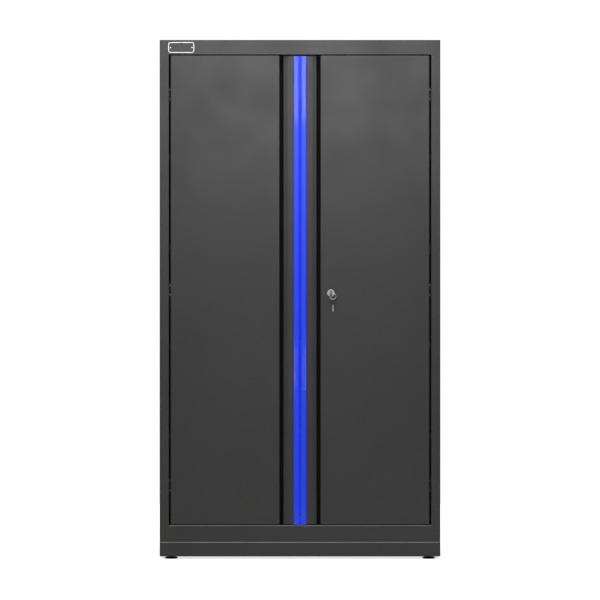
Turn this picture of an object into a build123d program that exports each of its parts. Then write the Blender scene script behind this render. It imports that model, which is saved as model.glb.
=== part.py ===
import os
from math import pi

from build123d import *

os.makedirs("parts", exist_ok=True)

# ---------------------------------------------------------------------------
# Driving dimensions, in millimetres.  +Z is up, the cabinet faces -Y, and the
# origin is the middle of the floor under the whole object, keys included.
# ---------------------------------------------------------------------------
width = 1000.0
height = 1850.0
depth = 450.0
key_reach = 35.0            # how far the keys stand out in front of the frame
sheet = 1.0                 # steel sheet
bend = 2.0                  # outside bend radius of the folds
ledge = 2.0                 # sloping fold along the ledges under the doors
ledge_bend = 1.2
swage_depth = 4.0           # stiffening swages in the flat sheets
gap = 0.3                   # play between neighbouring sheets

front = key_reach - (depth + key_reach) / 2
back = front + depth
side = width / 2

foot_height = 10.0          # underside of the plinth above the floor
plinth_top = 62.0
plinth_proud = 1.5          # the plinth stands this far in front of the frame
roof_thickness = 1.5
frame_top = height - roof_thickness
opening_bottom = 121.0
opening_top = 1797.0
stile_width = 33.0
stile_depth = 40.0
opening_side = side - stile_width

door_gap = 3.0              # above and below the doors
door_bottom = opening_bottom + door_gap
door_top = opening_top - door_gap
door_height = door_top - door_bottom
door_edge = 461.0           # hinge edge of a door
meeting_edge = 0.75         # half the gap between the two doors
door_face = front + 1.0
door_depth = 24.0
liner_back = door_face + door_depth + sheet
end_bend = 0.9              # folds along the top and bottom of a door
trim_width = 22.25
trim_drop = 2.2             # the trim reaches this far below the door
trim_inset = 3.0            # and starts this far below the door's top
trim_depth = 3.2
groove_inner = 24.5
groove_outer = 73.0
groove_depth = 20.0

pivot_x = 453.0
pivot_y = door_face + 8.0
hinge_levels = (260.0, 959.0, 1658.0)
hinge_ear = 3.0
hinge_slot = 5.0
pin_radius = 3.0

lock_x = 110.0
lock_z = 948.0
rod_y = door_face + 30.0    # front of the locking rods
rod_thickness = 5.0
rod_width = 7.0
tooth_module = 2.0
pinion_teeth = 12
pitch_radius = tooth_module * pinion_teeth / 2
rod_offset = 17.7           # middle of a rod from the lock's axis

shelf_levels = (446.0, 771.0, 1121.0, 1446.0)
shelf_front = front + 62.0
shelf_back = back - 9.0
shelf_half = side - sheet - 12.0
shelf_edge = 25.0
upright_ys = (front + 95.0, back - 55.0)
upright_depth = 10.0
slot_pitch = 25.0
first_slot = 146.0


def save(part, name):
    """Label a finished piece and write it to its own file."""
    part.label = name
    export_step(part, f"parts/{name}.step")


def facing(y):
    """A plane whose outline is drawn as seen from the front, at depth y."""
    return Plane(origin=(0, y, 0), x_dir=(1, 0, 0), z_dir=(0, -1, 0))


def plate(x0, x1, y0, y1, z0, z1):
    """A rectangular plate between two corners, added to the open part."""
    with BuildSketch(Plane.XY.offset(z0)) as outline:
        with Locations(((x0 + x1) / 2, (y0 + y1) / 2)):
            Rectangle(x1 - x0, y1 - y0)
    extrude(outline.sketch, amount=z1 - z0)


def cut(x0, x1, y0, y1, z0, z1):
    """A rectangular opening between two corners, cut from the open part."""
    with BuildSketch(Plane.XY.offset(z0)) as outline:
        with Locations(((x0 + x1) / 2, (y0 + y1) / 2)):
            Rectangle(x1 - x0, y1 - y0)
    extrude(outline.sketch, amount=z1 - z0, mode=Mode.SUBTRACT)


def inner_face(points, radii, inside):
    """The other face of a folded sheet: its corners and its bend radii."""
    steps = [(Vector(*q) - Vector(*p)).normalized() for p, q in zip(points, points[1:])]
    normals = [Vector(-step.Y, step.X) * inside for step in steps]
    corners = [Vector(*points[0]) + normals[0] * sheet]
    inner_radii = []
    for number in range(1, len(points) - 1):
        before = normals[number - 1]
        after = normals[number]
        corners.append(Vector(*points[number]) + (before + after) * (sheet / (1 + before.dot(after))))
        turn = steps[number - 1].cross(steps[number]).Z * inside
        inner_radii.append(radii[number - 1] - sheet if turn > 0 else radii[number - 1] + sheet)
    corners.append(Vector(*points[-1]) + normals[-1] * sheet)
    return corners, inner_radii


def folded(points, radii, plane, length, inside):
    """A folded sheet drawn by its outer face; inside is 1 to its left, -1 to its right."""
    corners, inner_radii = inner_face(points, radii, inside)
    with BuildSketch(plane) as section:
        with BuildLine():
            FilletPolyline(*points, radius=radii)
            FilletPolyline(*corners, radius=inner_radii)
            Line(points[0], corners[0])
            Line(points[-1], corners[-1])
        make_face()
    extrude(section.sketch, amount=length)


def swaged(edge0, edge1, y, swages, bottom, length):
    """A flat sheet facing +Y at depth y, with vertical swages pressed forward."""
    outline = [(edge0, y)]
    for swage_x in swages:
        outline += [
            (swage_x - 16, y),
            (swage_x - 9, y - swage_depth),
            (swage_x + 9, y - swage_depth),
            (swage_x + 16, y),
        ]
    outline += [(edge1, y)]
    inner = [(x, depth_y - sheet) for x, depth_y in reversed(outline)]
    with BuildSketch(Plane.XY.offset(bottom)) as section:
        with BuildLine():
            Polyline(*outline, *inner, close=True)
        make_face()
    extrude(section.sketch, amount=length)


# ---------------------------------------------------------------------------
# Carcass: side panels with their front stiles, roof, rails, floor and back
# ---------------------------------------------------------------------------
with BuildPart() as left_side_panel:
    folded(
        [
            (-side + sheet + gap, front + stile_depth),
            (-opening_side, front + stile_depth),
            (-opening_side, front),
            (-side, front),
            (-side, back),
            (-side + 22, back),
        ],
        [bend] * 4,
        Plane.XY.offset(plinth_top),
        frame_top - plinth_top,
        -1,
    )
save(left_side_panel.part, "left_side_panel")

with BuildPart() as right_side_panel:
    mirror(left_side_panel.part, about=Plane.YZ)
save(right_side_panel.part, "right_side_panel")

with BuildPart() as roof_panel:
    plate(-side, side, front, back, frame_top, height)
    fillet(roof_panel.edges().filter_by(Axis.Z), bend)
    fillet(roof_panel.faces().sort_by(Axis.Z)[-1].edges(), 1.0)
save(roof_panel.part, "roof_panel")

with BuildPart() as top_rail:
    with BuildSketch(Plane.YZ.offset(-opening_side)):
        with Locations((front + stile_depth / 2, (opening_top + frame_top) / 2)):
            rail_outline = Rectangle(stile_depth, frame_top - opening_top)
        fillet(rail_outline.vertices().sort_by(Axis.Y)[:2], bend)
        offset(amount=-sheet, mode=Mode.SUBTRACT)
    extrude(amount=2 * opening_side)
    for slot_x in (lock_x + rod_offset, -40.0):
        cut(slot_x - 7, slot_x + 7, rod_y - 3, rod_y + 8, opening_top - 1, opening_top + 2)
save(top_rail.part, "top_rail")

with BuildPart() as bottom_rail:
    with BuildSketch(Plane.YZ.offset(-opening_side)):
        with BuildLine():
            rail_line = Polyline(
                (front, plinth_top), (front, opening_bottom - ledge), (front + ledge, opening_bottom),
                (front + stile_depth, opening_bottom), (front + stile_depth, plinth_top), close=True,
            )
            fillet(rail_line.vertices().sort_by(Axis.Y)[-2:].sort_by(Axis.X)[-1], bend)
        make_face()
        offset(amount=-sheet, mode=Mode.SUBTRACT)
    extrude(amount=2 * opening_side)
    for slot_x in (lock_x - rod_offset, -40.0):
        cut(slot_x - 7, slot_x + 7, rod_y - 3, rod_y + 8, opening_bottom - 2, opening_bottom + 1)
save(bottom_rail.part, "bottom_rail")

with BuildPart() as floor_panel:
    floor_front = front + stile_depth + gap
    floor_back = back - 2 * sheet - swage_depth - gap
    folded(
        [
            (floor_front, opening_bottom - 20),
            (floor_front, opening_bottom),
            (floor_back, opening_bottom),
            (floor_back, opening_bottom - 20),
        ],
        [bend] * 2,
        Plane.YZ.offset(-side + sheet + gap),
        2 * (side - sheet - gap),
        -1,
    )
save(floor_panel.part, "floor_panel")

back_edge = side - sheet - bend
with BuildPart() as back_panel:
    swaged(
        -back_edge, back_edge, back - sheet,
        (-240.0, 0.0, 240.0),
        plinth_top, frame_top - plinth_top,
    )
    with BuildSketch(facing(back + 1)):
        with Locations((0, 1000)):
            with GridLocations(800, 1300, 2, 2):
                Circle(4.5)
    extrude(amount=10, mode=Mode.SUBTRACT)
save(back_panel.part, "back_panel")

# ---------------------------------------------------------------------------
# Plinth: front and back channels, side plates, corner plates and weld nuts
# ---------------------------------------------------------------------------
channel_depth = 25.0
plinth_front_face = front - plinth_proud
plinth_end = plinth_top - gap
with BuildPart() as plinth_front:
    folded(
        [
            (front + channel_depth, foot_height),
            (plinth_front_face, foot_height),
            (plinth_front_face, plinth_end - ledge),
            (plinth_front_face + ledge, plinth_end),
            (front + channel_depth, plinth_end),
        ],
        [bend, ledge_bend, ledge_bend],
        Plane.YZ.offset(-side),
        width,
        -1,
    )
    for end_x in (-side, side - sheet):
        plate(
            end_x, end_x + sheet,
            plinth_front_face + bend, front + channel_depth,
            foot_height, plinth_end,
        )
save(plinth_front.part, "plinth_front")

with BuildPart() as plinth_back:
    folded(
        [
            (back - channel_depth, foot_height),
            (back, foot_height),
            (back, plinth_end),
            (back - channel_depth, plinth_end),
        ],
        [bend] * 2,
        Plane.YZ.offset(-side),
        width,
        1,
    )
    for end_x in (-side, side - sheet):
        plate(
            end_x, end_x + sheet,
            back - channel_depth, back - bend,
            foot_height, plinth_end,
        )
save(plinth_back.part, "plinth_back")

with BuildPart() as left_plinth_side:
    folded(
        [
            (-side + channel_depth, foot_height),
            (-side, foot_height),
            (-side, plinth_end),
            (-side + channel_depth, plinth_end),
        ],
        [bend] * 2,
        Plane.XZ.offset(-(back - channel_depth)),
        depth - 2 * channel_depth,
        -1,
    )
save(left_plinth_side.part, "left_plinth_side")

with BuildPart() as right_plinth_side:
    mirror(left_plinth_side.part, about=Plane.YZ)
save(right_plinth_side.part, "right_plinth_side")

foot_x = 460.0
foot_spread = depth - 80.0
foot_middle = (front + back) / 2
corner_size = 66.0
corner_bottom = foot_height + sheet
corner_thickness = 3.0
nut_bottom = corner_bottom + corner_thickness
nut_height = 8.0
stud_radius = 5.0
foot_places = {
    "front_left": (-foot_x, foot_middle - foot_spread / 2),
    "front_right": (foot_x, foot_middle - foot_spread / 2),
    "rear_left": (-foot_x, foot_middle + foot_spread / 2),
    "rear_right": (foot_x, foot_middle + foot_spread / 2),
}

with BuildPart() as plinth_corner_plates:
    with BuildSketch(Plane.XY.offset(corner_bottom)):
        with Locations(*foot_places.values()):
            Rectangle(corner_size, corner_size)
            Circle(stud_radius + 0.6, mode=Mode.SUBTRACT)
    extrude(amount=corner_thickness)
save(plinth_corner_plates.part, "plinth_corner_plates")

with BuildPart() as foot_nuts:
    with BuildSketch(Plane.XY.offset(nut_bottom)):
        with Locations(*foot_places.values()):
            RegularPolygon(9.8, 6)
            Circle(stud_radius + 0.05, mode=Mode.SUBTRACT)
    extrude(amount=nut_height)
save(foot_nuts.part, "foot_nuts")

pad_radius = 23.5
pad_height = 7.0
collar_radius = 9.0         # hexagon that a spanner turns
collar_top = 9.6
stud_top = 31.5
for place, (foot_at_x, foot_at_y) in foot_places.items():
    foot_axis = Axis((foot_at_x, foot_at_y, 0), (0, 0, 1))
    with BuildPart() as foot:
        with BuildSketch(Plane.XZ.offset(-foot_at_y)) as pad_half:
            with Locations((foot_at_x, 0)):
                Polygon(
                    (0, 0),
                    (pad_radius - 3, 0),
                    (pad_radius, 2.6),
                    (pad_radius, 3.8),
                    (collar_radius + 4, pad_height),
                    (0, pad_height),
                    align=None,
                )
            fillet(pad_half.vertices().sort_by(Axis.X)[-2:], 0.55)
        revolve(axis=foot_axis)
        with BuildSketch(Plane.XY.offset(pad_height)):
            with Locations((foot_at_x, foot_at_y)):
                RegularPolygon(collar_radius, 6)
        extrude(amount=collar_top - pad_height)
        with BuildSketch(Plane.XY.offset(collar_top)):
            with Locations((foot_at_x, foot_at_y)):
                Circle(stud_radius)
        extrude(amount=stud_top - collar_top)
    save(foot.part, f"{place}_foot")

# ---------------------------------------------------------------------------
# Slotted uprights, shelves and shelf clips
# ---------------------------------------------------------------------------
upright_half = 13.0
upright_bottom = opening_bottom + gap
upright_top = 1760.0
upright_face = side - sheet - upright_depth
slot_count = int((upright_top - 20 - first_slot) / slot_pitch) + 1
slot_middle = first_slot + (slot_count - 1) * slot_pitch / 2
with BuildPart() as shelf_uprights:
    for upright_y in upright_ys:
        folded(
            [
                (side - sheet, upright_y - upright_half),
                (upright_face, upright_y - upright_half),
                (upright_face, upright_y + upright_half),
                (side - sheet, upright_y + upright_half),
            ],
            [bend] * 2,
            Plane.XY.offset(upright_bottom),
            upright_top - upright_bottom,
            -1,
        )
    with BuildSketch(Plane.YZ.offset(upright_face - 1)):
        for upright_y in upright_ys:
            with Locations((upright_y, slot_middle)):
                with GridLocations(1, slot_pitch, 1, slot_count):
                    Rectangle(12, 5)
    extrude(amount=3, mode=Mode.SUBTRACT)
    mirror(about=Plane.YZ)
save(shelf_uprights.part, "shelf_uprights")

for number, level in enumerate(shelf_levels, start=1):
    with BuildPart() as shelf:
        folded(
            [
                (shelf_front + 12, level - shelf_edge),
                (shelf_front, level - shelf_edge),
                (shelf_front, level),
                (shelf_back, level),
                (shelf_back, level - shelf_edge),
                (shelf_back - 12, level - shelf_edge),
            ],
            [bend] * 4,
            Plane.YZ.offset(-shelf_half),
            2 * shelf_half,
            -1,
        )
        for end_x in (-shelf_half, shelf_half - sheet):
            plate(
                end_x, end_x + sheet,
                shelf_front + bend, shelf_back - bend,
                level - shelf_edge, level - sheet,
            )
    save(shelf.part, f"shelf_{number}")

clip_half = 5.0
clip_thickness = 1.5
clip_drop = shelf_edge + clip_thickness
with BuildPart() as shelf_clips:
    for level in shelf_levels:
        for clip_y in upright_ys:
            clip_back = upright_face - gap
            plate(
                clip_back - clip_thickness, clip_back,
                clip_y - clip_half, clip_y + clip_half,
                level - clip_drop - 4, level - 12,
            )
            plate(
                clip_back - 16, clip_back - clip_thickness,
                clip_y - clip_half, clip_y + clip_half,
                level - clip_drop, level - shelf_edge,
            )
            plate(
                clip_back, clip_back + 4,
                clip_y - clip_half, clip_y + clip_half,
                level - 26.5, level - 23.5,
            )
    mirror(about=Plane.YZ)
save(shelf_clips.part, "shelf_clips")

# ---------------------------------------------------------------------------
# Doors: a folded outer skin with a finger groove, a liner and a blue trim
# ---------------------------------------------------------------------------
hinge_z0 = [level - hinge_slot / 2 for level in hinge_levels]
skin_points = [
    (meeting_edge + 12, door_face + door_depth),
    (meeting_edge, door_face + door_depth),
    (meeting_edge, door_face + trim_depth),
    (groove_inner, door_face + trim_depth),
    (43, door_face + 5.2),
    (59, door_face + 9.0),
    (64, door_face + groove_depth),
    (groove_outer, door_face + groove_depth),
    (groove_outer, door_face),
    (door_edge, door_face),
    (door_edge, door_face + door_depth),
    (door_edge - 12, door_face + door_depth),
]
skin_radii = [1.5, 1.5, 20, 30, 4, 2.5, 2.5, bend, bend, 1.5]


def door_skin():
    """The right door's folded skin, closed at its top and bottom."""
    with BuildPart() as skin:
        folded(skin_points, skin_radii, Plane.XY.offset(door_bottom), door_height, 1)
        for end_z in (door_bottom, door_top - sheet):
            with BuildSketch(Plane.XY.offset(end_z)):
                with BuildLine():
                    FilletPolyline(*skin_points, radius=skin_radii)
                    Line(skin_points[-1], skin_points[0])
                make_face()
            extrude(amount=sheet)
        for slot_z in hinge_z0:
            cut(
                pivot_x - 6, door_edge + 1,
                door_face + 1.6, door_face + door_depth + 1,
                slot_z, slot_z + hinge_slot,
            )
        face_edges = skin.edges().filter_by_position(Axis.Y, door_face - 0.1, door_face + 0.1)
        chamfer(face_edges.filter_by(Axis.X), end_bend)
    return skin.part


def door_liner():
    """The right door's inner sheet, with three shallow vertical swages."""
    with BuildPart() as liner:
        swaged(
            meeting_edge + 3, door_edge - 3, liner_back,
            (190.0, 290.0, 390.0),
            door_bottom + 3, door_height - 6,
        )
        for slot_z in hinge_z0:
            cut(
                pivot_x - 6, door_edge + 1,
                door_face + door_depth - 1, door_face + door_depth + 2,
                slot_z, slot_z + hinge_slot,
            )
    return liner.part


def door_trim():
    """The right door's convex trim strip, which reaches a little below the door."""
    with BuildPart() as trim:
        with BuildSketch(Plane.XY.offset(door_bottom - trim_drop)):
            with BuildLine():
                inner = meeting_edge
                outer = meeting_edge + trim_width
                seat = door_face + trim_depth
                Polyline((inner, door_face + 1.2), (inner, seat), (outer, seat), (outer, door_face + 2.0))
                ThreePointArc(
                    (outer, door_face + 2.0),
                    (outer - 0.7, door_face + 0.4),
                    (outer - 2.6, door_face - 0.5),
                )
                ThreePointArc(
                    (outer - 2.6, door_face - 0.5),
                    ((inner + outer) / 2, door_face - 1.0),
                    (inner, door_face + 1.2),
                )
            make_face()
        extrude(amount=door_height + trim_drop - trim_inset)
        fillet(trim.faces().sort_by(Axis.Z)[0].edges().sort_by(Axis.Y)[0], 0.6)
        fillet(trim.faces().sort_by(Axis.Z)[-1].edges().sort_by(Axis.Y)[0], 0.6)
    return trim.part


plain_skin = door_skin()
plain_liner = door_liner()
plain_trim = door_trim()

with BuildPart() as left_door_skin:
    mirror(plain_skin, about=Plane.YZ)
save(left_door_skin.part, "left_door_skin")

with BuildPart() as left_door_liner:
    mirror(plain_liner, about=Plane.YZ)
save(left_door_liner.part, "left_door_liner")

with BuildPart() as left_door_trim:
    mirror(plain_trim, about=Plane.YZ)
save(left_door_trim.part, "left_door_trim")

barrel_radius = 9.5
with BuildPart() as right_door_skin:
    add(plain_skin)
    with BuildSketch(facing(door_face + 2)):
        with Locations((lock_x, lock_z)):
            Circle(barrel_radius + 0.1)
    extrude(amount=4, mode=Mode.SUBTRACT)
save(right_door_skin.part, "right_door_skin")

with BuildPart() as right_door_liner:
    add(plain_liner)
    with BuildSketch(facing(liner_back + 1)):
        with Locations((lock_x, lock_z)):
            Circle(barrel_radius + 0.1)
    extrude(amount=4, mode=Mode.SUBTRACT)
save(right_door_liner.part, "right_door_liner")

save(plain_trim, "right_door_trim")

# ---------------------------------------------------------------------------
# Hinges: a fixed ear on the stile turns in a fork inside the door's edge
# ---------------------------------------------------------------------------
leaf_front = liner_back + 1.5
leaf_back = front + stile_depth - 1
with BuildPart() as right_hinge_frame_leaves:
    for level in hinge_levels:
        with BuildSketch(Plane.XY.offset(level - hinge_ear / 2)):
            with Locations((pivot_x, pivot_y)):
                Circle(6)
            with Locations((pivot_x, (pivot_y + leaf_front + 7) / 2)):
                Rectangle(7, leaf_front + 7 - pivot_y)
            with Locations(((pivot_x - 3.5 + opening_side) / 2, leaf_front + 3.5)):
                Rectangle(opening_side - pivot_x + 3.5, 7)
            with Locations((pivot_x, pivot_y)):
                Circle(pin_radius + 0.05, mode=Mode.SUBTRACT)
        extrude(amount=hinge_ear)
        plate(opening_side - 2, opening_side, leaf_front, leaf_back, level - 25, level + 25)
save(right_hinge_frame_leaves.part, "right_hinge_frame_leaves")

with BuildPart() as left_hinge_frame_leaves:
    mirror(right_hinge_frame_leaves.part, about=Plane.YZ)
save(left_hinge_frame_leaves.part, "left_hinge_frame_leaves")

fork_gap = 0.7
fork_inner = hinge_ear / 2 + fork_gap
fork_outer = fork_inner + hinge_ear
with BuildPart() as right_hinge_door_forks:
    for level in hinge_levels:
        for ear_bottom in (level - fork_outer, level + fork_inner):
            plate(
                pivot_x - 15, pivot_x + 6,
                door_face + sheet, pivot_y + 10,
                ear_bottom, ear_bottom + hinge_ear,
            )
        plate(
            pivot_x - 18, pivot_x - 15,
            door_face + sheet, pivot_y + 10,
            level - fork_outer, level + fork_outer,
        )
    with BuildSketch(Plane.XY):
        with Locations((pivot_x, pivot_y)):
            Circle(pin_radius + 0.02)
    extrude(amount=height, mode=Mode.SUBTRACT)
save(right_hinge_door_forks.part, "right_hinge_door_forks")

with BuildPart() as left_hinge_door_forks:
    mirror(right_hinge_door_forks.part, about=Plane.YZ)
save(left_hinge_door_forks.part, "left_hinge_door_forks")

with BuildPart() as right_hinge_pins:
    for level in hinge_levels:
        with BuildSketch(Plane.XY.offset(level - fork_outer - 1.5)):
            with Locations((pivot_x, pivot_y)):
                Circle(pin_radius)
        extrude(amount=2 * fork_outer + 1.5)
        with BuildSketch(Plane.XY.offset(level + fork_outer)):
            with Locations((pivot_x, pivot_y)):
                Circle(4.5)
        extrude(amount=2)
save(right_hinge_pins.part, "right_hinge_pins")

with BuildPart() as left_hinge_pins:
    mirror(right_hinge_pins.part, about=Plane.YZ)
save(left_hinge_pins.part, "left_hinge_pins")

# ---------------------------------------------------------------------------
# Door stops: small brackets on both rails with a rubber buffer on each
# ---------------------------------------------------------------------------
stop_x = 330.0
stop_front = liner_back + 2.0
with BuildPart() as door_stop_brackets:
    for stop_z0, stop_z1, flange_z in (
        (opening_top - 18, opening_top, opening_top - 1.5),
        (opening_bottom, opening_bottom + 18, opening_bottom),
    ):
        plate(stop_x - 12, stop_x + 12, stop_front, stop_front + 1.5, stop_z0, stop_z1)
        plate(stop_x - 12, stop_x + 12, stop_front + 1.5, stop_front + 12, flange_z, flange_z + 1.5)
    mirror(about=Plane.YZ)
save(door_stop_brackets.part, "door_stop_brackets")

with BuildPart() as door_buffers:
    with BuildSketch(facing(stop_front)):
        for buffer_z in (opening_top - 10, opening_bottom + 10):
            with Locations((stop_x, buffer_z), (-stop_x, buffer_z)):
                Circle(5)
    extrude(amount=stop_front - liner_back - gap)
save(door_buffers.part, "door_buffers")

# ---------------------------------------------------------------------------
# Lock on the right door: barrel, nut, turning plug, pinion, rods and cover
# ---------------------------------------------------------------------------
def lock_disc(radius, y0, y1, mode=Mode.ADD):
    """A round on the lock's axis, from depth y0 back to depth y1."""
    with BuildSketch(facing(y1)) as disc:
        with Locations((lock_x, lock_z)):
            Circle(radius)
    extrude(disc.sketch, amount=y1 - y0, mode=mode)


plug_radius = 7.0
flange_radius = 13.0
flange_depth = 3.0
blade_half = 0.95           # half of a key blade's thickness
keyway_play = 0.2
plug_front = door_face - 4.0
pinion_seat = 4.0
pinion_back = rod_y + rod_thickness
with BuildPart() as lock_barrel:
    lock_disc(flange_radius, door_face - flange_depth, door_face)
    fillet(lock_barrel.edges().group_by(Axis.Y)[0], 0.7)
    lock_disc(barrel_radius, door_face, liner_back + 4)
    lock_disc(plug_radius + 0.05, door_face - 4, liner_back + 5, Mode.SUBTRACT)
save(lock_barrel.part, "lock_barrel")

with BuildPart() as lock_nut:
    with BuildSketch(facing(liner_back + 3)):
        with Locations((lock_x, lock_z)):
            RegularPolygon(14, 6)
            Circle(barrel_radius + 0.05, mode=Mode.SUBTRACT)
    extrude(amount=3)
save(lock_nut.part, "lock_nut")

with BuildPart() as lock_plug:
    lock_disc(plug_radius, plug_front, rod_y)
    fillet(lock_plug.edges().group_by(Axis.Y)[0], 0.8)
    lock_disc(pinion_seat, rod_y, pinion_back)
    cut(
        lock_x - blade_half - keyway_play, lock_x + blade_half + keyway_play,
        plug_front - 1, door_face + 19, lock_z - 4.3, lock_z + 4.3,
    )
save(lock_plug.part, "lock_plug")

tooth_play = 0.3
tooth_half = tooth_module * pi / 4 - tooth_play
tooth_slope = 0.36
addendum = 0.8 * tooth_module
dedendum = 1.2 * tooth_module
with BuildPart() as lock_pinion:
    with BuildSketch(Plane(origin=(lock_x, pinion_back, lock_z), x_dir=(1, 0, 0), z_dir=(0, -1, 0))):
        Circle(pitch_radius - dedendum)
        with PolarLocations(0, pinion_teeth):
            Polygon(
                (pitch_radius - dedendum - 1, -tooth_half - tooth_slope * dedendum),
                (pitch_radius - dedendum, -tooth_half - tooth_slope * dedendum),
                (pitch_radius + addendum, -tooth_half + tooth_slope * addendum),
                (pitch_radius + addendum, tooth_half - tooth_slope * addendum),
                (pitch_radius - dedendum, tooth_half + tooth_slope * dedendum),
                (pitch_radius - dedendum - 1, tooth_half + tooth_slope * dedendum),
                align=None,
            )
        Circle(pinion_seat + 0.02, mode=Mode.SUBTRACT)
    extrude(amount=rod_thickness)
save(lock_pinion.part, "lock_pinion")

with BuildPart() as pinion_screw:
    lock_disc(6.0, pinion_back, pinion_back + 2.5)
    fillet(pinion_screw.edges().group_by(Axis.Y)[-1], 1.0)
save(pinion_screw.part, "pinion_screw")

rack_root = pitch_radius + dedendum
rack_tip = pitch_radius - addendum
rod_outer = rack_root + rod_width
tooth_pitch = tooth_module * pi
rack_teeth = 8


def locking_rod(direction, z_near, z_far):
    """A flat rod with a toothed end; direction +1 is beside +X of the lock."""
    z_low, z_high = sorted((z_near, z_far))
    with BuildPart() as rod:
        with BuildSketch(facing(rod_y + rod_thickness)):
            with Locations((lock_x + direction * (rack_root + rod_width / 2), (z_low + z_high) / 2)):
                Rectangle(rod_width, z_high - z_low)
            for tooth in range(rack_teeth):
                tooth_z = lock_z + (tooth - rack_teeth / 2 + 0.5) * tooth_pitch
                base = tooth_half + tooth_slope * dedendum
                tip = tooth_half - tooth_slope * addendum
                with BuildLine():
                    Polyline(
                        (lock_x + direction * rack_root, tooth_z - base),
                        (lock_x + direction * rack_tip, tooth_z - tip),
                        (lock_x + direction * rack_tip, tooth_z + tip),
                        (lock_x + direction * rack_root, tooth_z + base),
                        close=True,
                    )
                make_face()
        extrude(amount=rod_thickness)
    return rod.part


rod_end = 4.0
upper_locking_rod = locking_rod(1, lock_z - 30, door_top - rod_end)
save(upper_locking_rod, "upper_locking_rod")
lower_locking_rod = locking_rod(-1, lock_z + 30, door_bottom + rod_end)
save(lower_locking_rod, "lower_locking_rod")

guide_wall = 2.5
with BuildPart() as rod_guides:
    for direction, guide_levels in ((1, (1200.0, 1480.0, 1760.0)), (-1, (700.0, 430.0, 160.0))):
        guide_x = lock_x + direction * (rack_root + rod_width / 2)
        reach = rod_width / 2 + 0.3
        for guide_z in guide_levels:
            plate(
                guide_x - reach - guide_wall, guide_x + reach + guide_wall,
                liner_back, rod_y + rod_thickness + 0.3 + guide_wall,
                guide_z - 7, guide_z + 7,
            )
            cut(
                guide_x - reach, guide_x + reach,
                rod_y - 0.3, rod_y + rod_thickness + 0.3,
                guide_z - 8, guide_z + 8,
            )
save(rod_guides.part, "rod_guides")

case_half_x = 34.0
case_half_z = 46.0
case_back = rod_y + rod_thickness + 7
with BuildPart() as lock_case:
    plate(
        lock_x - case_half_x, lock_x + case_half_x,
        liner_back, case_back,
        lock_z - case_half_z, lock_z + case_half_z,
    )
    fillet(lock_case.edges().filter_by(Axis.Y), 4)
    fillet(lock_case.faces().sort_by(Axis.Y)[-1].edges(), 1.5)
    cut(
        lock_x - case_half_x + 1.2, lock_x + case_half_x - 1.2,
        liner_back - 1, case_back - 1.2,
        lock_z - case_half_z + 1.2, lock_z + case_half_z - 1.2,
    )
    for direction, end_z in ((1, lock_z + case_half_z), (-1, lock_z - case_half_z)):
        slot_x = lock_x + direction * (rack_root + rod_width / 2)
        cut(slot_x - 4.2, slot_x + 4.2, rod_y - 0.7, rod_y + rod_thickness + 0.7, end_z - 4, end_z + 4)
save(lock_case.part, "lock_case")

# ---------------------------------------------------------------------------
# Keys: one in the lock, a ring through its bow, and a spare on the ring
# ---------------------------------------------------------------------------
key_hole_y = door_face - 25.0
bow_half = 13.0
bow_width = 22.0
bow_corner = 6.0
bow_thickness = 3.8
key_hole_radius = 5.6
key_hole_z = lock_z - 4.0   # the hole sits low in the turned bow
hole_inset = 6.0            # hole centre ahead of the middle of the bow
with BuildPart() as key_bow:
    with BuildSketch(Plane.YZ.offset(lock_x - bow_thickness / 2)):
        with Locations((key_hole_y + hole_inset, lock_z)):
            key_outline = Rectangle(2 * bow_half, bow_width)
        fillet(key_outline.vertices(), bow_corner)
        with Locations((key_hole_y, key_hole_z)):
            Circle(key_hole_radius, mode=Mode.SUBTRACT)
    extrude(amount=bow_thickness)
save(key_bow.part, "key_bow")

key_bow_back = key_hole_y + hole_inset + bow_half
with BuildPart() as key_blade:
    plate(
        lock_x - blade_half, lock_x + blade_half,
        key_bow_back, door_face + 18,
        lock_z - 4, lock_z + 4,
    )
    fillet(key_blade.edges().filter_by(Axis.X).group_by(Axis.Y)[-1], 2)
save(key_blade.part, "key_blade")

ring_radius = 10.5
ring_wire = 1.1
ring_x = lock_x + 0.695 * ring_radius
ring_z = key_hole_z - 0.719 * ring_radius
with BuildPart() as key_ring:
    with BuildSketch(Plane(origin=(ring_x, key_hole_y, ring_z), x_dir=(1, 0, 0), z_dir=(0, 0, 1))):
        with Locations((ring_radius, 0)):
            Circle(ring_wire)
    revolve(axis=Axis((ring_x, key_hole_y, ring_z), (0, 1, 0)))
save(key_ring.part, "key_ring")

spare_hole_z = ring_z - ring_radius
with BuildPart() as spare_key_bow:
    with BuildSketch(Plane.YZ.offset(ring_x - bow_thickness / 2)):
        with Locations((key_hole_y, spare_hole_z - hole_inset)):
            spare_outline = Rectangle(bow_width, 2 * bow_half)
        fillet(spare_outline.vertices(), bow_corner)
        with Locations((key_hole_y, spare_hole_z)):
            Circle(key_hole_radius, mode=Mode.SUBTRACT)
    extrude(amount=bow_thickness)
save(spare_key_bow.part, "spare_key_bow")

spare_bow_bottom = spare_hole_z - hole_inset - bow_half
blade_length = 25.0
with BuildPart() as spare_key_blade:
    plate(
        ring_x - blade_half, ring_x + blade_half,
        key_hole_y - 4, key_hole_y + 4,
        spare_bow_bottom - blade_length, spare_bow_bottom,
    )
    fillet(spare_key_blade.edges().filter_by(Axis.X).group_by(Axis.Z)[0], 2)
save(spare_key_blade.part, "spare_key_blade")

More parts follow.
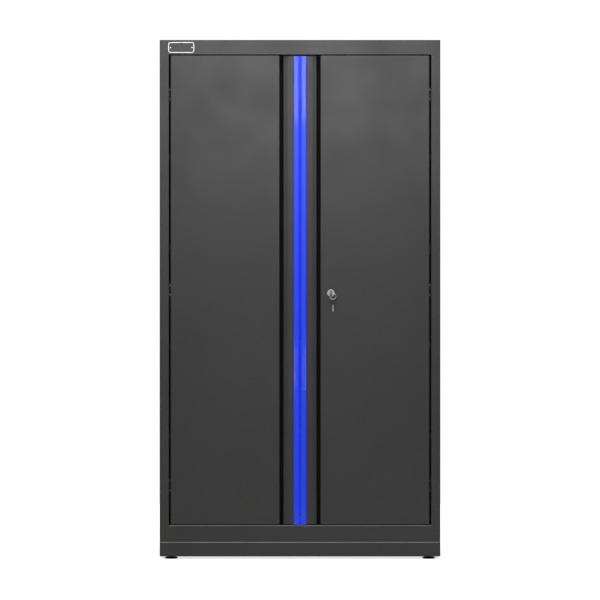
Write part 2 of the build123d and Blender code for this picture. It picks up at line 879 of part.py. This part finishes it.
# ---------------------------------------------------------------------------
# Left door: two hand bolts with their guide blocks
# ---------------------------------------------------------------------------
bolt_x = -40.0
bolt_y = rod_y + rod_thickness / 2
bolt_radius = 4.0
bolt_length = 130.0
bolt_ends = {"left_top_bolt": (1, door_top - rod_end), "left_bottom_bolt": (-1, door_bottom + rod_end)}
for name, (direction, tip_z) in bolt_ends.items():
    with BuildPart() as bolt:
        with BuildSketch(Plane.XY.offset(tip_z - (bolt_length if direction > 0 else 0))):
            with Locations((bolt_x, bolt_y)):
                Circle(bolt_radius)
        extrude(amount=bolt_length)
        chamfer(bolt.edges().sort_by(Axis.Z)[-1 if direction > 0 else 0], 1.2)
        knob_z = tip_z - direction * (bolt_length - 34)
        with BuildSketch(facing(bolt_y + 20)):
            with Locations((bolt_x, knob_z)):
                Circle(5)
        extrude(amount=20)
    save(bolt.part, name)

with BuildPart() as left_bolt_guides:
    for direction, tip_z in bolt_ends.values():
        for guide_distance in (22.0, bolt_length - 8):
            guide_z = tip_z - direction * guide_distance
            plate(bolt_x - 9, bolt_x + 9, liner_back, bolt_y + 7, guide_z - 6, guide_z + 6)
    with BuildSketch(Plane.XY):
        with Locations((bolt_x, bolt_y)):
            Circle(bolt_radius + 0.3)
    extrude(amount=height, mode=Mode.SUBTRACT)
save(left_bolt_guides.part, "left_bolt_guides")

# ---------------------------------------------------------------------------
# Nameplate on the top rail: a blank plate with a raised rim, and its rivets
# ---------------------------------------------------------------------------
nameplate_x = -423.0
nameplate_z = (opening_top + frame_top) / 2
nameplate_width = 92.0
nameplate_height = 38.0
nameplate_corner = 8.0
nameplate_rim = 2.5
with BuildPart() as nameplate:
    with BuildSketch(facing(front)):
        with Locations((nameplate_x, nameplate_z)):
            RectangleRounded(nameplate_width, nameplate_height, nameplate_corner)
    extrude(amount=1.2)
    with BuildSketch(facing(front - 0.6)):
        with Locations((nameplate_x, nameplate_z)):
            RectangleRounded(
                nameplate_width - 2 * nameplate_rim,
                nameplate_height - 2 * nameplate_rim,
                nameplate_corner - nameplate_rim,
            )
    extrude(amount=2, mode=Mode.SUBTRACT)
save(nameplate.part, "nameplate")

with BuildPart() as nameplate_rivets:
    with BuildSketch(facing(front - 0.6)):
        with Locations((nameplate_x, nameplate_z)):
            with GridLocations(nameplate_width - 15, 1, 2, 1):
                Circle(2.2)
    extrude(amount=0.9)
save(nameplate_rivets.part, "nameplate_rivets")
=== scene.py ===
import bmesh
import bpy
import math
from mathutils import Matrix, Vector


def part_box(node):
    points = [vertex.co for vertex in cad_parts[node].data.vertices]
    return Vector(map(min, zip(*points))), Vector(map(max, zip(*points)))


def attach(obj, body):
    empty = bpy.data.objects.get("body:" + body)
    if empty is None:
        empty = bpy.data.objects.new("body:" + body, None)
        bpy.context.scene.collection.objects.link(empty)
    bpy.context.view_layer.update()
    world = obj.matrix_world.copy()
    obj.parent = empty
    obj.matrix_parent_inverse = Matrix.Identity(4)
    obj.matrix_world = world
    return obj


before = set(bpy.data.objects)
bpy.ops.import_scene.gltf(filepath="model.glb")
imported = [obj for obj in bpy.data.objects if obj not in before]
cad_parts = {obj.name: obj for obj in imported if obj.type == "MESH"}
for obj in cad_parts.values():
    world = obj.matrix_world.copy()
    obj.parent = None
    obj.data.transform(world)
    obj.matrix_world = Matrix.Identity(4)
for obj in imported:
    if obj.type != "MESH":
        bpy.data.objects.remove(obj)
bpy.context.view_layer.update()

# --- Carcass --------------------------------------------------------------
# Folded one-millimetre steel sheets: sides with their front stiles, roof, rails, floor, back and
# plinth. They are welded, ground flush and sprayed with a dark grey powder that cures to a fine
# orange peel with a satin sheen.

MM = 0.001


def principled(name, colour, roughness, metallic=0.0, specular=0.5, coat=0.0, coat_roughness=0.1):
    material = bpy.data.materials.new(name)
    material.use_nodes = True
    shader = material.node_tree.nodes["Principled BSDF"]
    shader.inputs["Base Color"].default_value = (*colour, 1)
    shader.inputs["Roughness"].default_value = roughness
    shader.inputs["Metallic"].default_value = metallic
    shader.inputs["Specular IOR Level"].default_value = specular
    shader.inputs["Coat Weight"].default_value = coat
    shader.inputs["Coat Roughness"].default_value = coat_roughness
    return material, material.node_tree, shader


def noise(tree, size, detail=2.0, stretch=(1, 1, 1)):
    """Noise whose features are about size metres across, on Object coordinates."""
    coordinates = tree.nodes.new("ShaderNodeTexCoord")
    mapping = tree.nodes.new("ShaderNodeMapping")
    mapping.inputs["Scale"].default_value = [s / size for s in stretch]
    texture = tree.nodes.new("ShaderNodeTexNoise")
    texture.inputs["Scale"].default_value = 1.0
    texture.inputs["Detail"].default_value = detail
    texture.inputs["Roughness"].default_value = 0.5
    tree.links.new(coordinates.outputs["Object"], mapping.inputs["Vector"])
    tree.links.new(mapping.outputs["Vector"], texture.inputs["Vector"])
    return texture.outputs["Fac"]


def spread(tree, value, low, high, from_low=0.3, from_high=0.7):
    """Maps a noise value to a range."""
    ranged = tree.nodes.new("ShaderNodeMapRange")
    ranged.inputs["From Min"].default_value = from_low
    ranged.inputs["From Max"].default_value = from_high
    ranged.inputs["To Min"].default_value = low
    ranged.inputs["To Max"].default_value = high
    tree.links.new(value, ranged.inputs["Value"])
    return ranged.outputs["Result"]


def shade(tree, factor, dark, light):
    """A colour between two, by a factor."""
    mix = tree.nodes.new("ShaderNodeMix")
    mix.data_type = "RGBA"
    mix.inputs["A"].default_value = (*dark, 1)
    mix.inputs["B"].default_value = (*light, 1)
    tree.links.new(factor, mix.inputs["Factor"])
    return mix.outputs["Result"]


def bump(tree, shader, heights):
    """Stacks height patterns, each (value, depth in metres), into the shader's normal."""
    normal = None
    for height, depth in heights:
        node = tree.nodes.new("ShaderNodeBump")
        node.inputs["Strength"].default_value = 1.0
        node.inputs["Distance"].default_value = depth
        tree.links.new(height, node.inputs["Height"])
        if normal is not None:
            tree.links.new(normal, node.inputs["Normal"])
        normal = node.outputs["Normal"]
    tree.links.new(normal, shader.inputs["Normal"])


def painted_fold_highlight(tree, coat, highlight_grey):
    """Painted highlight: a paler grey on faces that look up and forward, standing in for the light that
    their folds catch.
    """
    coordinates = tree.nodes.new("ShaderNodeTexCoord")
    facing = tree.nodes.new("ShaderNodeVectorMath")
    facing.operation = "DOT_PRODUCT"
    facing.inputs[1].default_value = (0, -0.7071, 0.7071)
    tree.links.new(coordinates.outputs["Normal"], facing.inputs[0])
    mix = tree.nodes.new("ShaderNodeMix")
    mix.data_type = "RGBA"
    mix.inputs["B"].default_value = (highlight_grey, highlight_grey, highlight_grey, 1)
    tree.links.new(spread(tree, facing.outputs["Value"], 0, 1, 0.88, 0.97), mix.inputs["Factor"])
    tree.links.new(coat, mix.inputs["A"])
    return mix.outputs["Result"]


def powder_coat(name, colour, roughness, fold_highlight_grey=None):
    """Sprayed powder: a cloudy film, fine grit and the orange peel it flows out to, with a painted
    highlight on the up-and-forward folds where a fold grey is given.
    """
    material, tree, shader = principled(name, colour, roughness, specular=0.5)
    clouds = noise(tree, 0.35, detail=3.0)
    dark = [c * 0.92 for c in colour]
    light = [c * 1.1 for c in colour]
    coat = shade(tree, spread(tree, clouds, 0, 1), dark, light)
    # Painted highlight on the folds that face up and forward.
    if fold_highlight_grey:
        coat = painted_fold_highlight(tree, coat, fold_highlight_grey)
    tree.links.new(coat, shader.inputs["Base Color"])
    film = noise(tree, 0.12, detail=2.0)
    tree.links.new(spread(tree, film, roughness - 0.03, roughness + 0.05), shader.inputs["Roughness"])
    peel = noise(tree, 2.6 * MM, detail=1.0)
    grit = noise(tree, 0.7 * MM, detail=1.0)
    bump(tree, shader, [(peel, 0.03 * MM), (grit, 0.012 * MM)])
    return material


def finish_nodes(material, names):
    """Gives CAD nodes a material through their own slots."""
    for name in names:
        for material_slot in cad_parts[name].material_slots:
            material_slot.material = material


dark_grey = (0.026, 0.026, 0.026)
frame_powder = powder_coat("frame_powder_coat", dark_grey, 0.45)
# The bottom rail's top fold carries a painted highlight, a paler grey where it faces up and forward.
rail_powder = powder_coat("rail_powder_coat", dark_grey, 0.45, fold_highlight_grey=0.11)
finish_nodes(rail_powder, ["bottom_rail"])
finish_nodes(
    frame_powder,
    [
        "left_side_panel", "right_side_panel", "roof_panel", "top_rail",
        "floor_panel", "back_panel", "shelf_uprights", "door_stop_brackets",
        "left_hinge_frame_leaves", "right_hinge_frame_leaves",
    ],
)


def prism(outline, low, high):
    """A bmesh prism: an outline of (x, y) points standing from height low to high."""
    shape = bmesh.new()
    base = shape.faces.new([shape.verts.new((x, y, low)) for x, y in outline])
    raised = bmesh.ops.extrude_face_region(shape, geom=[base])["geom"]
    top = [part for part in raised if isinstance(part, bmesh.types.BMVert)]
    bmesh.ops.translate(shape, vec=(0, 0, high - low), verts=top)
    bmesh.ops.recalc_face_normals(shape, faces=shape.faces)
    return shape


def piece(name, shapes, body, material):
    """Joins bmesh shapes into one object that rides on a body."""
    mesh = bpy.data.meshes.new(name)
    whole = bmesh.new()
    for shape in shapes:
        part = bpy.data.meshes.new("part")
        shape.to_mesh(part)
        shape.free()
        whole.from_mesh(part)
        bpy.data.meshes.remove(part)
    whole.to_mesh(mesh)
    whole.free()
    made = bpy.data.objects.new(name, mesh)
    bpy.context.collection.objects.link(made)
    mesh.materials.append(material)
    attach(made, body)


# The corner joints between stiles and rails are filled with weld and ground flush.

stile_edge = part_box("top_rail")[1].x
frame_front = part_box("top_rail")[0].y
fold = 2 * MM
rail_end_clearance = 3 * MM
weld_overlap = 0.2 * MM
flush = 0.01 * MM
joints = []
for hand in (-1, 1):
    for node, low_fold, high_fold in (("top_rail", fold, 0), ("bottom_rail", 0, rail_end_clearance)):
        low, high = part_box(node)
        wedge = [
            (hand * (stile_edge - weld_overlap), frame_front + flush),
            (hand * (stile_edge + fold), frame_front + flush),
            (hand * (stile_edge - weld_overlap), frame_front + fold),
        ]
        joints.append(prism(wedge, low.z + low_fold, high.z - high_fold))
piece("corner_welds", joints, "cabinet", frame_powder)

# --- Back rivets ----------------------------------------------------------
# The back sheet is pulled down to the side flanges by blind rivets with a small mandrel hole.
# They are set before spraying, so they wear the same powder.


def fastener_tree(name, drive, material):
    """Fields of fasteners, one on each vertex; drive is "cross" for screws or "mandrel" for rivets."""
    tree = bpy.data.node_groups.new(name, "GeometryNodeTree")
    sockets = tree.interface
    sockets.new_socket("Geometry", in_out="INPUT", socket_type="NodeSocketGeometry")
    sockets.new_socket("Geometry", in_out="OUTPUT", socket_type="NodeSocketGeometry")
    for label in ("Columns", "Rows"):
        sockets.new_socket(label, in_out="INPUT", socket_type="NodeSocketInt").default_value = 1
    for label in ("Column Pitch", "Row Pitch", "Head Radius", "Head Height", "Drive Size"):
        sockets.new_socket(label, in_out="INPUT", socket_type="NodeSocketFloat")
    sockets.new_socket("Turn", in_out="INPUT", socket_type="NodeSocketVector")

    def node(kind, **settings):
        made = tree.nodes.new(kind)
        for key, value in settings.items():
            setattr(made, key, value)
        return made

    def join(source, target):
        tree.links.new(source, target)

    given = node("NodeGroupInput").outputs
    result = node("NodeGroupOutput")

    def math_node(operation, first, second):
        made = node("ShaderNodeMath", operation=operation)
        for socket, value in zip(made.inputs, (first, second)):
            if isinstance(value, (int, float)):
                socket.default_value = value
            else:
                join(value, socket)
        return made.outputs["Value"]

    def centred_line(count, pitch, axis):
        """A line of points about the origin along X or Y."""
        start = math_node("MULTIPLY", math_node("SUBTRACT", 1.0, given[count]), given[pitch])
        start = math_node("MULTIPLY", start, 0.5)
        line = node("GeometryNodeMeshLine", mode="OFFSET", count_mode="TOTAL")
        join(given[count], line.inputs["Count"])
        for socket, value in (("Start Location", start), ("Offset", given[pitch])):
            vector = node("ShaderNodeCombineXYZ")
            join(value, vector.inputs[axis])
            join(vector.outputs["Vector"], line.inputs[socket])
        return line.outputs["Mesh"]

    def instance(points, shape):
        made = node("GeometryNodeInstanceOnPoints")
        join(points, made.inputs["Points"])
        join(shape, made.inputs["Instance"])
        return made

    row = instance(centred_line("Rows", "Row Pitch", "Y"), centred_line("Columns", "Column Pitch", "X"))
    field = node("GeometryNodeRealizeInstances")
    join(row.outputs["Instances"], field.inputs["Geometry"])

    head = node("GeometryNodeJoinGeometry")
    lower = math_node("MULTIPLY", given["Head Height"], 0.5)
    for top_share, bottom_share, base in ((1.0, 1.0, 0.0), (0.62, 1.0, 1.0)):
        cone = node("GeometryNodeMeshCone", fill_type="NGON")
        cone.inputs["Vertices"].default_value = 20
        join(math_node("MULTIPLY", given["Head Radius"], top_share), cone.inputs["Radius Top"])
        join(math_node("MULTIPLY", given["Head Radius"], bottom_share), cone.inputs["Radius Bottom"])
        join(lower, cone.inputs["Depth"])
        lift = node("ShaderNodeCombineXYZ")
        join(math_node("MULTIPLY", lower, base), lift.inputs["Z"])
        move = node("GeometryNodeTransform")
        join(cone.outputs["Mesh"], move.inputs["Geometry"])
        join(lift.outputs["Vector"], move.inputs["Translation"])
        join(move.outputs["Geometry"], head.inputs["Geometry"])
    recess = node("GeometryNodeMeshBoolean", operation="DIFFERENCE")
    join(head.outputs["Geometry"], recess.inputs["Mesh 1"])
    top = node("ShaderNodeCombineXYZ")
    join(given["Head Height"], top.inputs["Z"])
    if drive == "cross":
        slot_width = math_node("MULTIPLY", given["Drive Size"], 0.28)
        cutters = []
        for long_axis, short_axis in (("X", "Y"), ("Y", "X")):
            size = node("ShaderNodeCombineXYZ")
            join(given["Drive Size"], size.inputs[long_axis])
            join(slot_width, size.inputs[short_axis])
            join(given["Head Height"], size.inputs["Z"])
            cube = node("GeometryNodeMeshCube")
            join(size.outputs["Vector"], cube.inputs["Size"])
            cutters.append(cube.outputs["Mesh"])
    else:
        hole = node("GeometryNodeMeshCylinder")
        hole.inputs["Vertices"].default_value = 12
        join(math_node("MULTIPLY", given["Drive Size"], 0.5), hole.inputs["Radius"])
        join(given["Head Height"], hole.inputs["Depth"])
        cutters = [hole.outputs["Mesh"]]
    for cutter in cutters:
        move = node("GeometryNodeTransform")
        join(cutter, move.inputs["Geometry"])
        join(top.outputs["Vector"], move.inputs["Translation"])
        join(move.outputs["Geometry"], recess.inputs["Mesh 2"])

    fasteners = instance(field.outputs["Geometry"], recess.outputs["Mesh"])
    placed = instance(given["Geometry"], fasteners.outputs["Instances"])
    turn = node("FunctionNodeEulerToRotation")
    join(given["Turn"], turn.inputs["Euler"])
    join(turn.outputs["Rotation"], placed.inputs["Rotation"])
    solid = node("GeometryNodeRealizeInstances")
    join(placed.outputs["Instances"], solid.inputs["Geometry"])
    painted = node("GeometryNodeSetMaterial")
    painted.inputs["Material"].default_value = material
    join(solid.outputs["Geometry"], painted.inputs["Geometry"])
    join(painted.outputs["Geometry"], result.inputs["Geometry"])
    return tree


def fasten(name, tree, places, facing, body, slot, **sizes):
    """Sets fields of fasteners at the places, facing along an axis, as one plain mesh on a body."""
    turns = {
        "+Y": (-math.pi / 2, 0, 0), "-Y": (math.pi / 2, 0, 0),
        "+X": (0, math.pi / 2, 0), "-X": (0, -math.pi / 2, 0),
    }
    points = bpy.data.meshes.new(name + "_places")
    points.from_pydata([tuple(place) for place in places], [], [])
    source = bpy.data.objects.new(name + "_places", points)
    bpy.context.collection.objects.link(source)
    modifier = source.modifiers.new("fasteners", "NODES")
    modifier.node_group = tree
    values = dict(sizes, Turn=turns[facing])
    for item in tree.interface.items_tree:
        label = item.name.replace(" ", "_")
        if item.in_out == "INPUT" and label in values:
            modifier[item.identifier] = values[label]
    evaluated = source.evaluated_get(bpy.context.evaluated_depsgraph_get())
    mesh = bpy.data.meshes.new_from_object(evaluated)
    source.modifiers.remove(modifier)
    bpy.data.objects.remove(source)
    mesh.name = name
    made = bpy.data.objects.new(name, mesh)
    bpy.context.collection.objects.link(made)
    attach(made, body)


painted_rivets = fastener_tree("painted_rivets", "mandrel", frame_powder)
back_low, back_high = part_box("back_panel")
back_face = back_high.y
rivet = {"Head_Radius": 3.2 * MM, "Head_Height": 1.1 * MM, "Drive_Size": 2.0 * MM}
rivet_inset = 9 * MM
back_middle = (back_low.z + back_high.z) / 2
rivets_high = 13
end_margin = 0.04
rivet_pitch = (back_high.z - back_low.z - 2 * end_margin) / (rivets_high - 1)
fasten(
    "back_side_rivets", painted_rivets,
    [(hand * (back_high.x - rivet_inset), back_face, back_middle) for hand in (-1, 1)],
    "+Y", "cabinet", "frame_paint",
    Columns=1, Rows=rivets_high, Row_Pitch=rivet_pitch, Column_Pitch=0.1, **rivet,
)
fasten(
    "back_end_rivets", painted_rivets,
    [(0, back_face, level) for level in (back_low.z + rivet_inset, back_high.z - rivet_inset)],
    "+Y", "cabinet", "frame_paint",
    Columns=6, Rows=1, Column_Pitch=0.16, Row_Pitch=0.1, **rivet,
)

# --- Plinth ---------------------------------------------------------------
# A low frame of folded channels under the body, sprayed with the same powder. It takes the kicks
# and the mop, so its film is a little duller and scuffed.

# The plinth's top fold carries a painted highlight, a paler grey where it faces up and forward.
plinth_powder = powder_coat("plinth_powder_coat", (0.027, 0.027, 0.0265), 0.47, fold_highlight_grey=0.19)
finish_nodes(
    plinth_powder,
    ["plinth_front", "plinth_back", "left_plinth_side", "right_plinth_side", "plinth_corner_plates"],
)

# --- Levelling feet -------------------------------------------------------
# Injection-moulded black nylon pads on threaded studs, screwed into weld nuts in the corner
# plates. The moulding leaves a slight sheen.


def moulded_plastic(name, colour, roughness, specular=0.5):
    """Moulded plastic with the faint texture of a spark-eroded tool."""
    material, tree, shader = principled(name, colour, roughness, specular=specular)
    grain = noise(tree, 0.5 * MM, detail=2.0)
    film = noise(tree, 15 * MM, detail=2.0)
    tree.links.new(spread(tree, film, roughness - 0.05, roughness + 0.06), shader.inputs["Roughness"])
    dark = [c * 0.85 for c in colour]
    light = [c * 1.2 for c in colour]
    tree.links.new(shade(tree, spread(tree, film, 0, 1), dark, light), shader.inputs["Base Color"])
    bump(tree, shader, [(grain, 0.015 * MM)])
    return material


foot_nylon = moulded_plastic("black_foot_nylon", (0.012, 0.012, 0.012), 0.28)
finish_nodes(foot_nylon, [f"{end}_{side}_foot" for end in ("front", "rear") for side in ("left", "right")])

# --- Doors ----------------------------------------------------------------
# Each door is a folded outer skin, with its finger groove pressed in beside the meeting edge, and
# a swaged liner behind it. Both are sprayed with the body's powder, one shade smoother.

# The doors' top folds carry a faint painted highlight, a paler grey where they face up and forward.
door_powder = powder_coat("door_powder_coat", dark_grey, 0.45, fold_highlight_grey=0.06)
finish_nodes(
    door_powder,
    ["left_door_skin", "right_door_skin", "left_door_liner", "right_door_liner", "lock_case"],
)

# --- Groove shade ---------------------------------------------------------
# Along the deep side of each finger groove stands a near-black channel: painted shade,
# a dark sheet put where the groove's shade falls.

shade_sheet_black = moulded_plastic("groove_rubber", (0.004, 0.004, 0.004), 0.8, specular=0.15)
door_low, door_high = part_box("right_door_skin")
shade_outline = [
    (60.2, 9.7), (64.3, 19.8), (72.8, 19.8), (72.8, 2.4), (72.2, 2.4), (72.2, 19.2), (64.7, 19.2),
    (60.9, 9.4),
]
# Each door gets its near-black channel of painted shade in the groove's deep side.
for hand, side in ((-1, "left"), (1, "right")):
    outline = [(hand * across * MM, door_low.y + deep * MM) for across, deep in shade_outline]
    channel = prism(outline, door_low.z + MM, door_high.z - MM)
    piece(f"{side}_groove_lining", [channel], f"{side}_door", shade_sheet_black)

# --- Edge strips ----------------------------------------------------------
# A blue strip closes each door's meeting edge: an extruded crown, coloured through, with a
# semi-gloss skin that the die leaves faintly drawn along its length.

strip_blue, tree, shader = principled(
    "blue_edge_strip", (0.001, 0.043, 0.98), 0.4, specular=0.5, coat=0.2, coat_roughness=0.06
)
drawn = noise(tree, 1.2 * MM, detail=2.0, stretch=(1, 1, 0.004))
cloud = noise(tree, 0.2, detail=2.0)
tree.links.new(
    shade(tree, spread(tree, cloud, 0, 1), (0.001, 0.041, 0.96), (0.002, 0.045, 1.0)),
    shader.inputs["Base Color"],
)
tree.links.new(spread(tree, drawn, 0.36, 0.44), shader.inputs["Roughness"])
bump(tree, shader, [(drawn, 0.002 * MM)])
finish_nodes(strip_blue, ["left_door_trim", "right_door_trim"])

# --- Shelves --------------------------------------------------------------
# Four trays of folded sheet that hang on clips in the slotted uprights. Powder-coated like the
# body; the clips are zinc-plated pressings.

shelf_powder = powder_coat("shelf_powder_coat", (0.034, 0.034, 0.034), 0.45)
finish_nodes(shelf_powder, [f"shelf_{number}" for number in range(1, 5)])


def zinc_plate(name, colour, roughness):
    """Bright zinc on steel: cloudy spangle and fine rolling lines."""
    material, tree, shader = principled(name, colour, roughness, metallic=1.0)
    spangle = noise(tree, 9 * MM, detail=3.0)
    lines = noise(tree, 0.6 * MM, detail=2.0, stretch=(1, 1, 0.05))
    dark = [c * 0.82 for c in colour]
    light = [min(1.0, c * 1.1) for c in colour]
    tree.links.new(shade(tree, spread(tree, spangle, 0, 1), dark, light), shader.inputs["Base Color"])
    tree.links.new(spread(tree, spangle, roughness - 0.06, roughness + 0.1), shader.inputs["Roughness"])
    bump(tree, shader, [(lines, 0.006 * MM)])
    return material


zinc = zinc_plate("zinc_plated_steel", (0.55, 0.56, 0.57), 0.34)
finish_nodes(
    zinc,
    [
        "foot_nuts", "shelf_clips", "left_hinge_door_forks", "right_hinge_door_forks",
        "left_hinge_pins", "right_hinge_pins", "upper_locking_rod", "lower_locking_rod",
        "lock_pinion", "pinion_screw", "lock_nut", "left_top_bolt", "left_bottom_bolt",
    ],
)

# --- Hinge screws ---------------------------------------------------------
# Each fixed hinge leaf is held to the stile by two cross-recess pan-head screws of zinc-plated
# steel, one above the hinge's ear and one below it.

zinc_screws = fastener_tree("zinc_screws", "cross", zinc)
screw = {"Head_Radius": 3.4 * MM, "Head_Height": 1.8 * MM, "Drive_Size": 3.6 * MM}
hinge_levels = [0.26, 0.959, 1.658]
leaf_thickness = 2 * MM
screw_inset = 6.5 * MM
for hand, facing in ((-1, "+X"), (1, "-X")):
    side = "left" if hand < 0 else "right"
    leaf_low, leaf_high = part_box(f"{side}_hinge_frame_leaves")
    leaf_face = hand * (stile_edge - leaf_thickness)
    fasten(
        f"{side}_hinge_screws", zinc_screws,
        [(leaf_face, leaf_high.y - screw_inset, level) for level in hinge_levels],
        facing, "cabinet", "zinc_steel",
        Columns=2, Rows=1, Column_Pitch=34 * MM, Row_Pitch=0.01, **screw,
    )

# --- Buffers and guides ---------------------------------------------------
# Rubber buttons soften the doors' stop against the frame. The rods and bolts slide in moulded
# black blocks that are fixed to the door liners.

rubber = moulded_plastic("buffer_rubber", (0.02, 0.02, 0.02), 0.75)
finish_nodes(rubber, ["door_buffers"])
guide_plastic = moulded_plastic("black_guide_plastic", (0.02, 0.02, 0.021), 0.45)
finish_nodes(guide_plastic, ["rod_guides", "left_bolt_guides"])

# --- Lock -----------------------------------------------------------------
# A lock barrel of turned brass, nickelled and chromed, with its turning plug in the face. Four
# screws hold the pressed steel cover over the rods inside the door.

chrome, tree, shader = principled("lock_chrome", (0.5, 0.5, 0.505), 0.34, metallic=1.0)
haze = noise(tree, 6 * MM, detail=3.0)
tree.links.new(spread(tree, haze, 0.32, 0.44), shader.inputs["Roughness"])
finish_nodes(chrome, ["lock_barrel", "lock_plug"])

case_low, case_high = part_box("lock_case")
case_middle = (case_low + case_high) / 2
fasten(
    "lock_case_screws", zinc_screws,
    [(case_middle.x, case_high.y, case_middle.z)],
    "+Y", "right_door", "zinc_steel",
    Columns=2, Rows=2, Column_Pitch=52 * MM, Row_Pitch=76 * MM, **screw,
)

# --- Keys -----------------------------------------------------------------
# Two flat keys of nickel silver with black moulded heads. They share a ring of bright steel
# wire: one stands in the lock and the spare hangs from the ring.

key_nickel = zinc_plate("key_nickel", (0.82, 0.81, 0.78), 0.4)
finish_nodes(key_nickel, ["key_blade", "spare_key_blade", "key_ring"])
key_head = moulded_plastic("key_head_plastic", (0.02, 0.02, 0.02), 0.55, specular=0.4)
finish_nodes(key_head, ["key_bow", "spare_key_bow"])

# --- Nameplate ------------------------------------------------------------
# A small blank plate of stamped aluminium on two rivets. Its rim is bright and the sunk field is
# filled with dark enamel.

plate_metal = zinc_plate("nameplate_metal", (0.7, 0.7, 0.71), 0.45)
finish_nodes(plate_metal, ["nameplate", "nameplate_rivets"])

enamel, tree, shader = principled("nameplate_enamel", (0.03, 0.03, 0.03), 0.45, specular=0.5)
flow = noise(tree, 8 * MM, detail=2.0)
tree.links.new(spread(tree, flow, 0.4, 0.5), shader.inputs["Roughness"])
tree.links.new(
    shade(tree, spread(tree, flow, 0, 1), (0.027, 0.027, 0.027), (0.033, 0.033, 0.033)),
    shader.inputs["Base Color"],
)
bump(tree, shader, [(flow, 0.01 * MM)])

plate_low, plate_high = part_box("nameplate")
rim = 2.5 * MM
corner = 5.5 * MM
corner_steps = 8
enamel_back = frame_front - 0.55 * MM
enamel_face = frame_front - 0.85 * MM
field_outline = []
for quarter, (x, z) in enumerate(
    (
        (plate_high.x, plate_high.z), (plate_low.x, plate_high.z),
        (plate_low.x, plate_low.z), (plate_high.x, plate_low.z),
    )
):
    centre_x = x + (rim + corner) * (1 if x == plate_low.x else -1)
    centre_z = z + (rim + corner) * (1 if z == plate_low.z else -1)
    for step in range(corner_steps + 1):
        angle = (quarter + step / corner_steps) * math.pi / 2
        reach = (corner * math.cos(angle), corner * math.sin(angle))
        field_outline.append((centre_x + reach[0], centre_z + reach[1]))
inlay = prism(field_outline, 0, enamel_back - enamel_face)
for vertex in inlay.verts:
    x, z, rise = vertex.co
    vertex.co = (x, enamel_face + rise, z)
bmesh.ops.recalc_face_normals(inlay, faces=inlay.faces)
piece("nameplate_field", [inlay], "cabinet", enamel)

# --- Studio ---------------------------------------------------------------
# A pale floor and a plain white surround, bright to the camera and dim to the cabinet. Softboxes in
# front light the doors, two low panels glance off the strips, one overhead catches the folds, and
# two behind light the back and sides.

bpy.ops.mesh.primitive_circle_add(vertices=96, radius=2.6, fill_type="NGON")
floor = bpy.context.object
floor.name = "studio_floor"
floor_paint, tree, shader = principled("studio_floor", (0.9, 0.87, 0.83), 0.9, specular=0.1)
shader.inputs["Emission Color"].default_value = (1, 1, 1, 1)
seen = tree.nodes.new("ShaderNodeLightPath")
glow = tree.nodes.new("ShaderNodeMath")
glow.operation = "MULTIPLY"
glow.inputs[1].default_value = 0.75
tree.links.new(seen.outputs["Is Camera Ray"], glow.inputs[0])
tree.links.new(glow.outputs["Value"], shader.inputs["Emission Strength"])
floor.data.materials.append(floor_paint)

world = bpy.data.worlds.new("studio_surround")
bpy.context.scene.world = world
world.use_nodes = True
tree = world.node_tree
background = tree.nodes["Background"]
background.inputs["Color"].default_value = (1, 1, 1, 1)
background.inputs["Strength"].default_value = 0.04
backdrop = tree.nodes.new("ShaderNodeBackground")
backdrop.inputs["Color"].default_value = (1, 1, 1, 1)
backdrop.inputs["Strength"].default_value = 1.05
ray = tree.nodes.new("ShaderNodeLightPath")
blend = tree.nodes.new("ShaderNodeMixShader")
tree.links.new(ray.outputs["Is Camera Ray"], blend.inputs["Fac"])
tree.links.new(background.outputs["Background"], blend.inputs[1])
tree.links.new(backdrop.outputs["Background"], blend.inputs[2])
tree.links.new(blend.outputs["Shader"], tree.nodes["World Output"].inputs["Surface"])


def soft_light(name, place, target, width, height, power):
    """A rectangular lamp that faces a target."""
    light = bpy.data.lights.new(name, "AREA")
    light.shape = "RECTANGLE"
    light.size = width
    light.size_y = height
    light.energy = power
    lamp = bpy.data.objects.new(name, light)
    bpy.context.collection.objects.link(lamp)
    lamp.location = place
    lamp.rotation_euler = (Vector(target) - Vector(place)).to_track_quat("-Z", "Y").to_euler()


cabinet_middle = (0, -0.2, 1.0)
strip_middle = (0, -0.2, 0.7)
soft_light("front_softbox", (0, -2.5, 1.95), cabinet_middle, 1.5, 0.5, 24)
soft_light("overhead_softbox", (0, -0.6, 2.9), (0, -0.59, 0), 2.0, 0.4, 45)
for hand in (-1, 1):
    soft_light("side_softbox", (1.5 * hand, -2.5, 2.2), cabinet_middle, 1.0, 0.8, 5)
    soft_light("strip_reflector", (0.4 * hand, -2.5, 0.62), strip_middle, 0.2, 0.2, 1.5)
    soft_light("back_softbox", (1.6 * hand, 2.6, 2.4), cabinet_middle, 1.2, 1.0, 40)

camera_data = bpy.data.cameras.new("front_camera")
camera = bpy.data.objects.new("front_camera", camera_data)
bpy.context.collection.objects.link(camera)
camera_distance = 10.0
view_height = 2.137
eye_level = 0.9235
camera_data.lens = camera_data.sensor_width * camera_distance / view_height
camera_data.clip_end = 60
camera.location = (0, frame_front - camera_distance, eye_level)
camera.rotation_euler = (math.radians(90), 0, 0)
bpy.context.scene.camera = camera
bpy.context.scene.view_settings.view_transform = "Standard"
